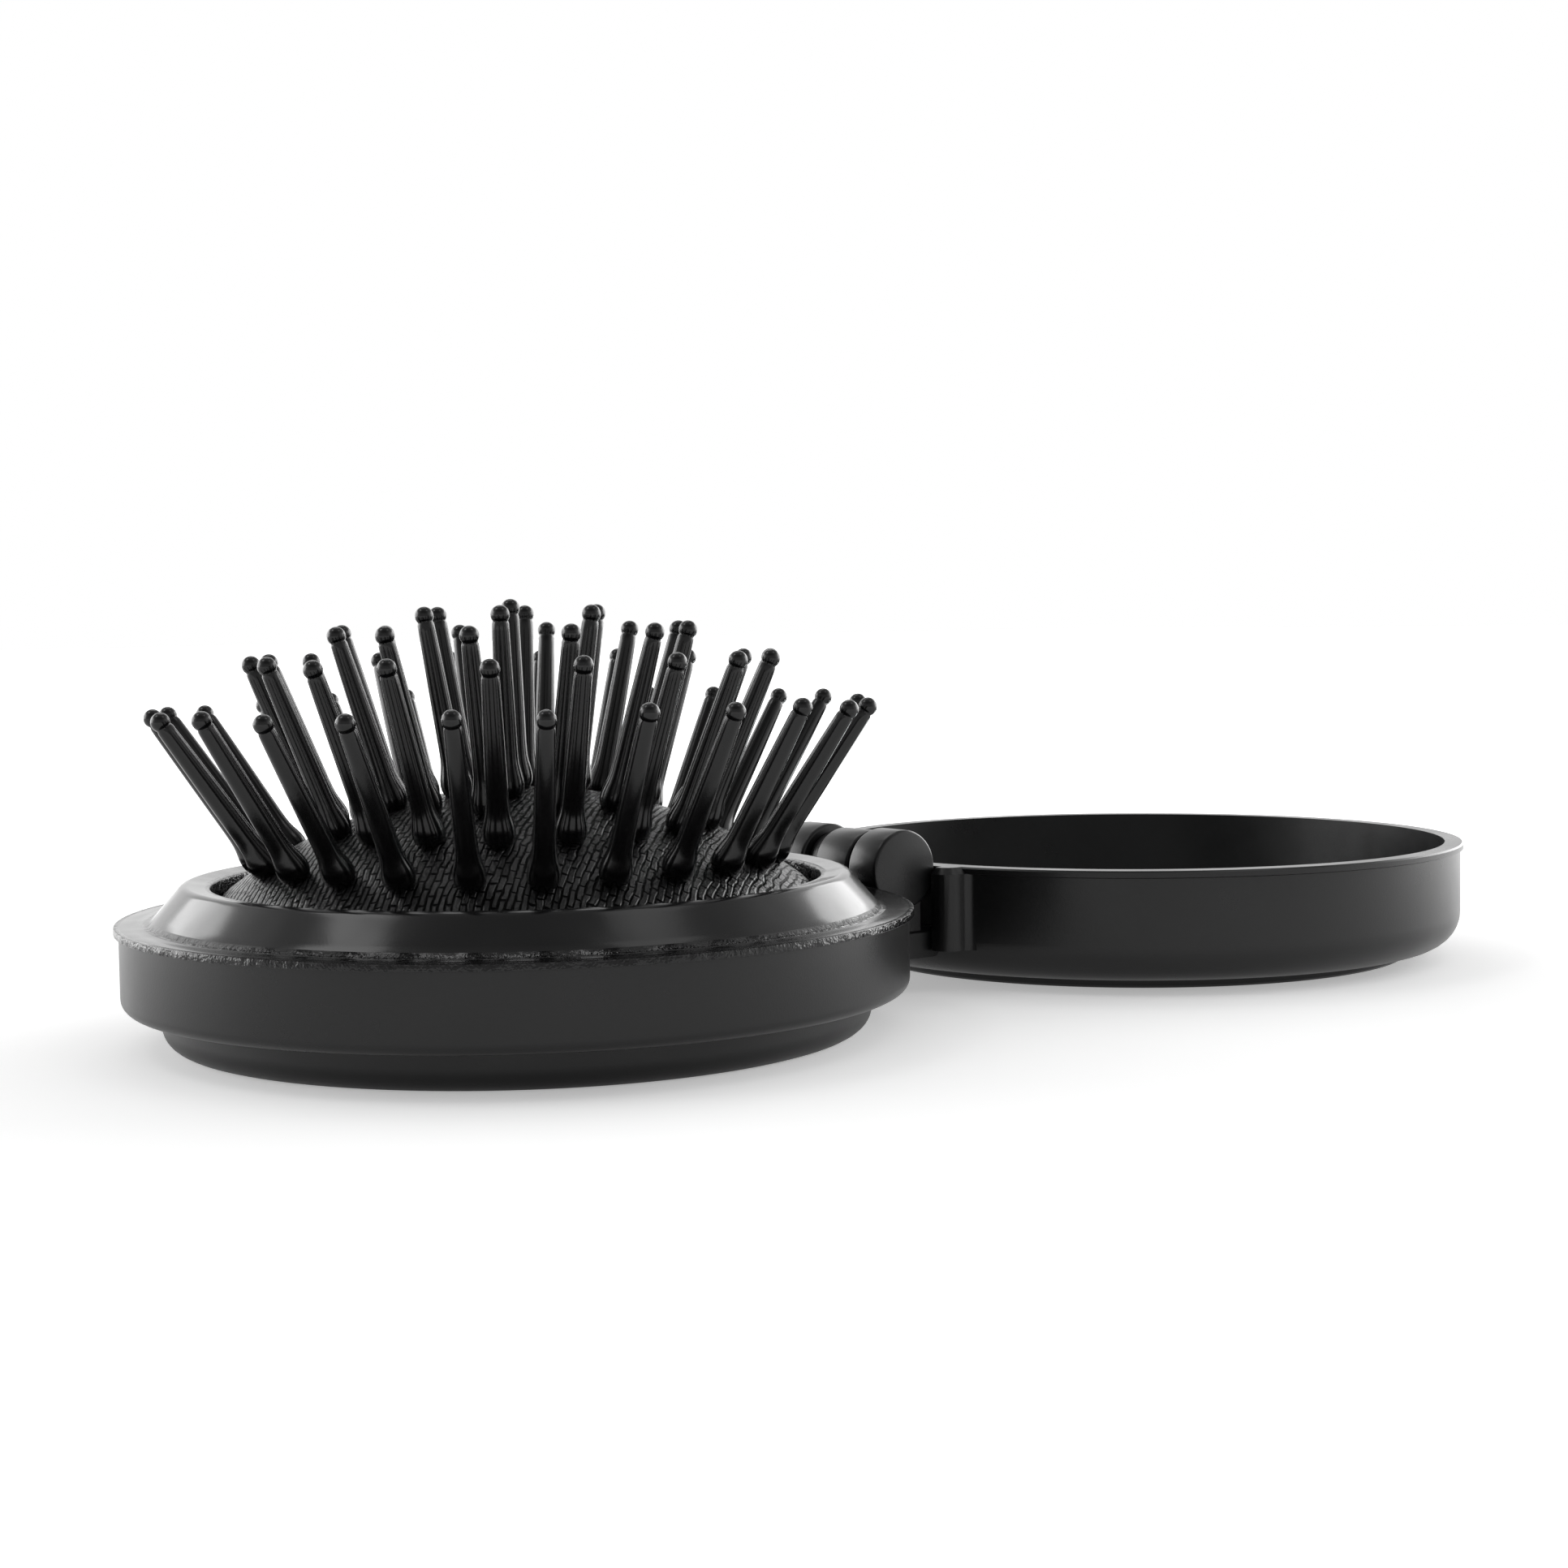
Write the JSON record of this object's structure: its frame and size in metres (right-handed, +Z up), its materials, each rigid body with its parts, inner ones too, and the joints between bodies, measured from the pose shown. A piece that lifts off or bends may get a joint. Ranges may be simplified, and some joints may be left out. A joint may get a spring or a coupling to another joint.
{
  "type": "folding hairbrush",
  "caption": "Folding pocket hairbrush: a round brush half with ball-tipped pins on a pop-up rubber cushion, hinged to a round lid with a mirror.",
  "frame": {"origin": "Middle of the brush half, on the flat face of the push base that it stands on.", "axes": "+X from the brush half to the lid, +Y along the hinge axis, +Z up out of the bristles."},
  "size_m": [0.1386, 0.066, 0.0361],
  "materials": {
    "housing_plastic": "moulded ABS, satin black",
    "bezel_plastic": "moulded ABS, polished black",
    "clamp_plastic": "moulded, black",
    "cushion_rubber": "black rubber with a small brick texture",
    "pin_nylon": "moulded nylon, satin black",
    "base_plastic": "moulded ABS, satin black",
    "pin_steel": "plain steel wire",
    "lid_plastic": "moulded ABS, satin black",
    "pad_foam": "thin adhesive foam",
    "mirror_silver": "silvered glass"
  },
  "bodies": {
    "brush_half": {"brush_housing": "housing_plastic", "bezel_ring": "bezel_plastic", "cushion_clamp_ring": "clamp_plastic", "cushion": "cushion_rubber", "pins_ring_4": "pin_nylon", "hinge_pin": "pin_steel"},
    "lid": {"lid_shell": "lid_plastic", "mirror_pad": "pad_foam", "mirror_glass": "mirror_silver"},
    "push_base": {"push_base": "base_plastic"},
    "pins_centre": {"pins_centre": "pin_nylon"},
    "pins_ring_1": {"pins_ring_1": "pin_nylon"},
    "pins_ring_2": {"pins_ring_2": "pin_nylon"},
    "pins_ring_3": {"pins_ring_3": "pin_nylon"}
  },
  "joints": [
    {"name": "lid_fold", "type": "hinge", "parent": "brush_half", "child": "lid", "pos_m": [0.0365, 0, 0.0113], "axis": [0, -1, 0], "range_deg": [0, 180]},
    {"name": "base_push", "type": "slide", "parent": "brush_half", "child": "push_base", "axis": [0, 0, 1], "range_m": [-0.0037, 0], "deforming": ["cushion", "pins_ring_4"]},
    {"name": "pins_centre_travel", "type": "slide", "parent": "brush_half", "child": "pins_centre", "axis": [0, 0, 1], "range_m": [-0.018, 0]},
    {"name": "pins_ring_1_travel", "type": "slide", "parent": "brush_half", "child": "pins_ring_1", "axis": [0, 0, 1], "range_m": [-0.0175, 0]},
    {"name": "pins_ring_2_travel", "type": "slide", "parent": "brush_half", "child": "pins_ring_2", "axis": [0, 0, 1], "range_m": [-0.0162, 0]},
    {"name": "pins_ring_3_travel", "type": "slide", "parent": "brush_half", "child": "pins_ring_3", "axis": [0, 0, 1], "range_m": [-0.0137, 0]}
  ],
  "couplings": [
    {"joint": "base_push", "follows": "lid_fold", "m_per_rad": -0.0011777},
    {"joint": "pins_centre_travel", "follows": "lid_fold", "m_per_rad": -0.0057295},
    {"joint": "pins_ring_1_travel", "follows": "lid_fold", "m_per_rad": -0.0055704},
    {"joint": "pins_ring_2_travel", "follows": "lid_fold", "m_per_rad": -0.0051566},
    {"joint": "pins_ring_3_travel", "follows": "lid_fold", "m_per_rad": -0.0043608}
  ]
}
